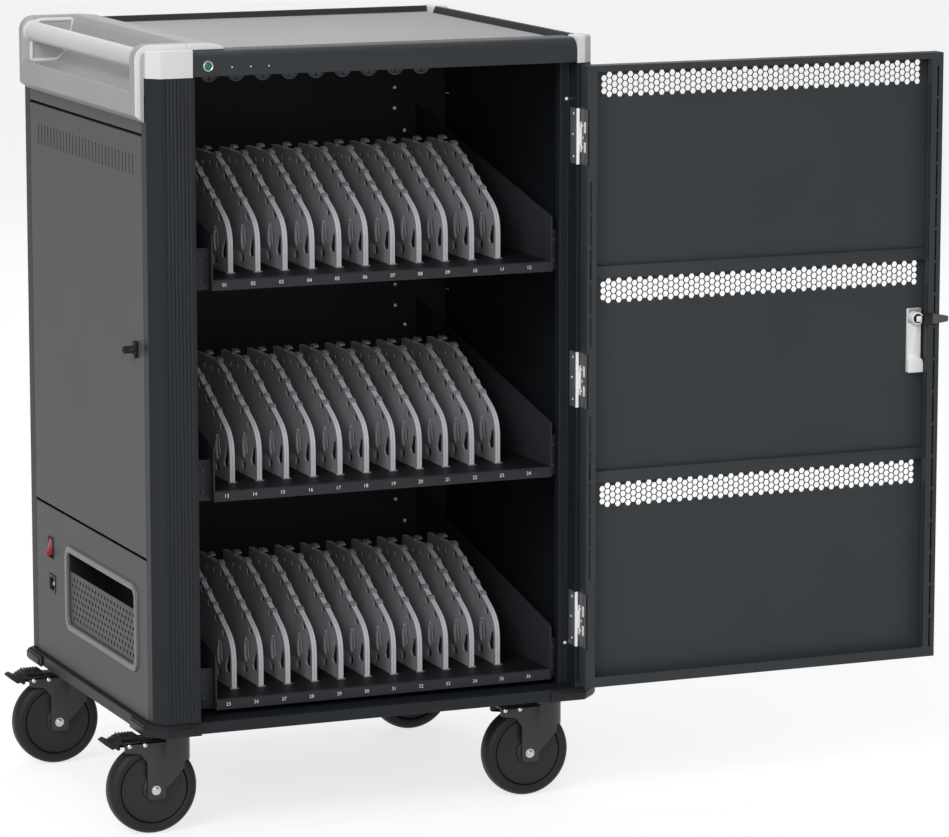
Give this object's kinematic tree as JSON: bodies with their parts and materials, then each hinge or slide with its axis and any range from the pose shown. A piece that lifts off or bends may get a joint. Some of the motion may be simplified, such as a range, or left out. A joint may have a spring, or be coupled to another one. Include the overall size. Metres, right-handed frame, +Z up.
{
  "type": "laptop charging cart",
  "caption": "Wheeled steel cabinet with hinged front door, shelves of upright divider slots for charging laptops, side service door, push handle and braked swivel casters.",
  "frame": {"origin": "on the floor, under the middle of the box round the cart with its front door standing open", "axes": "+Z up, +X towards the viewer's right along the open front door, +Y from the front face to the rear"},
  "size_m": [1.2324, 0.5992, 1.0675],
  "materials": {
    "slate_paint": "fine satin powder coat",
    "side_paint": "fine satin powder coat",
    "black_paint": "matt powder coat",
    "grey_plastic": "fine moulded grain",
    "pale_plastic": "fine moulded grain",
    "divider_plastic": "satin moulding",
    "mat_rubber": "soft matt mat",
    "black_plastic": "satin moulding",
    "dark_steel": "satin black coat on pressed steel",
    "bright_steel": "plated, lightly brushed",
    "tyre_rubber": "matt moulded rubber on a plastic hub",
    "green_plastic": "clear green push button"
  },
  "bodies": {
    "cabinet": {"base_tray": "slate_paint", "bumper_front_left": "black_plastic", "bumper_front_right": "black_plastic", "bumper_rear_left": "black_plastic", "bumper_rear_right": "black_plastic", "pillar_front_left": "slate_paint", "pillar_front_right": "slate_paint", "pillar_rear_left": "slate_paint", "pillar_rear_right": "slate_paint", "left_top_rail": "side_paint", "service_panel": "side_paint", "power_inlet": "black_plastic", "pocket_bezel": "slate_paint", "cord_pocket": "black_plastic", "pocket_plate": "dark_steel", "right_panel": "side_paint", "rear_panel": "side_paint", "back_wall": "black_paint", "left_partition": "black_paint", "shelf_bottom": "divider_plastic", "shelf_middle": "divider_plastic", "shelf_top": "divider_plastic", "header": "slate_paint", "button_ring": "bright_steel", "top_rail_right": "slate_paint", "top_rail_back": "slate_paint", "top_board": "mat_rubber", "cap_front_left": "pale_plastic", "cap_front_right": "pale_plastic", "cap_rear_left": "pale_plastic", "cap_rear_right": "pale_plastic", "handle_housing": "grey_plastic", "handle_bar": "grey_plastic", "hinge_bottom_pillar_leaf": "bright_steel", "hinge_middle_pillar_leaf": "bright_steel", "hinge_top_pillar_leaf": "bright_steel", "socket_strip_1": "black_plastic", "socket_strip_2": "black_plastic", "socket_strip_3": "black_plastic", "charge_controller": "black_plastic"},
    "front_door": {"door_panel": "slate_paint", "lock_plate": "bright_steel", "hinge_bottom_door_leaf": "bright_steel", "hinge_middle_door_leaf": "bright_steel", "hinge_top_door_leaf": "bright_steel"},
    "door_lock": {"lock_cam": "black_plastic"},
    "side_door": {"side_door": "side_paint"},
    "side_lock": {"side_key": "black_plastic"},
    "rocker": {"rocker_switch": "black_plastic"},
    "button": {"power_button": "green_plastic"},
    "caster_front_left": {"fork_front_left": "dark_steel"},
    "caster_front_right": {"fork_front_right": "dark_steel"},
    "caster_rear_left": {"fork_rear_left": "dark_steel"},
    "caster_rear_right": {"fork_rear_right": "dark_steel"},
    "roller_front_left": {"wheel_front_left": "tyre_rubber"},
    "roller_front_right": {"wheel_front_right": "tyre_rubber"},
    "roller_rear_left": {"wheel_rear_left": "tyre_rubber"},
    "roller_rear_right": {"wheel_rear_right": "tyre_rubber"},
    "brake_front_left": {"pedal_front_left": "black_plastic"},
    "brake_rear_left": {"pedal_rear_left": "black_plastic"}
  },
  "joints": [
    {"name": "front_door_swing", "type": "hinge", "parent": "cabinet", "child": "front_door", "pos_m": [0.05965, -0.2692, 0.6], "axis": [0, 0, 1], "range_deg": [-180, 0]},
    {"name": "door_lock_turn", "type": "hinge", "parent": "front_door", "child": "door_lock", "pos_m": [0.56965, -0.2952, 0.65], "axis": [0, 1, 0], "range_deg": [0, 90]},
    {"name": "side_door_swing", "type": "hinge", "parent": "cabinet", "child": "side_door", "pos_m": [-0.54985, 0.2564, 0.66], "axis": [0, 0, 1], "range_deg": [-100, 0]},
    {"name": "side_key_turn", "type": "hinge", "parent": "side_door", "child": "side_lock", "pos_m": [-0.54935, -0.2052, 0.661], "axis": [1, 0, 0], "range_deg": [0, 90]},
    {"name": "rocker_tip", "type": "hinge", "parent": "cabinet", "child": "rocker", "pos_m": [-0.54735, 0.1888, 0.321], "axis": [0, 1, 0], "range_deg": [-16, 0]},
    {"name": "power_button_press", "type": "slide", "parent": "cabinet", "child": "button", "axis": [0, 1, 0], "range_m": [0, 0.0015], "stiffness_N_per_m": 400},
    {"name": "swivel_front_left", "type": "hinge", "parent": "cabinet", "child": "caster_front_left", "pos_m": [-0.50515, -0.2002, 0.14], "axis": [0, 0, 1], "continuous": true},
    {"name": "swivel_front_right", "type": "hinge", "parent": "cabinet", "child": "caster_front_right", "pos_m": [0.04145, -0.2002, 0.14], "axis": [0, 0, 1], "continuous": true},
    {"name": "swivel_rear_left", "type": "hinge", "parent": "cabinet", "child": "caster_rear_left", "pos_m": [-0.50515, 0.2278, 0.14], "axis": [0, 0, 1], "continuous": true},
    {"name": "swivel_rear_right", "type": "hinge", "parent": "cabinet", "child": "caster_rear_right", "pos_m": [0.04145, 0.2278, 0.14], "axis": [0, 0, 1], "continuous": true},
    {"name": "roll_front_left", "type": "hinge", "parent": "caster_front_left", "child": "roller_front_left", "pos_m": [-0.53565, -0.2002, 0.0625], "axis": [0, 1, 0], "continuous": true},
    {"name": "roll_front_right", "type": "hinge", "parent": "caster_front_right", "child": "roller_front_right", "pos_m": [0.01095, -0.2002, 0.0625], "axis": [0, 1, 0], "continuous": true},
    {"name": "roll_rear_left", "type": "hinge", "parent": "caster_rear_left", "child": "roller_rear_left", "pos_m": [-0.53565, 0.2278, 0.0625], "axis": [0, 1, 0], "continuous": true},
    {"name": "roll_rear_right", "type": "hinge", "parent": "caster_rear_right", "child": "roller_rear_right", "pos_m": [0.01095, 0.2278, 0.0625], "axis": [0, 1, 0], "continuous": true},
    {"name": "brake_front_left_press", "type": "hinge", "parent": "caster_front_left", "child": "brake_front_left", "pos_m": [-0.56365, -0.2002, 0.138], "axis": [0, 1, 0], "range_deg": [-10, 0]},
    {"name": "brake_rear_left_press", "type": "hinge", "parent": "caster_rear_left", "child": "brake_rear_left", "pos_m": [-0.56365, 0.2278, 0.138], "axis": [0, 1, 0], "range_deg": [-10, 0]}
  ]
}
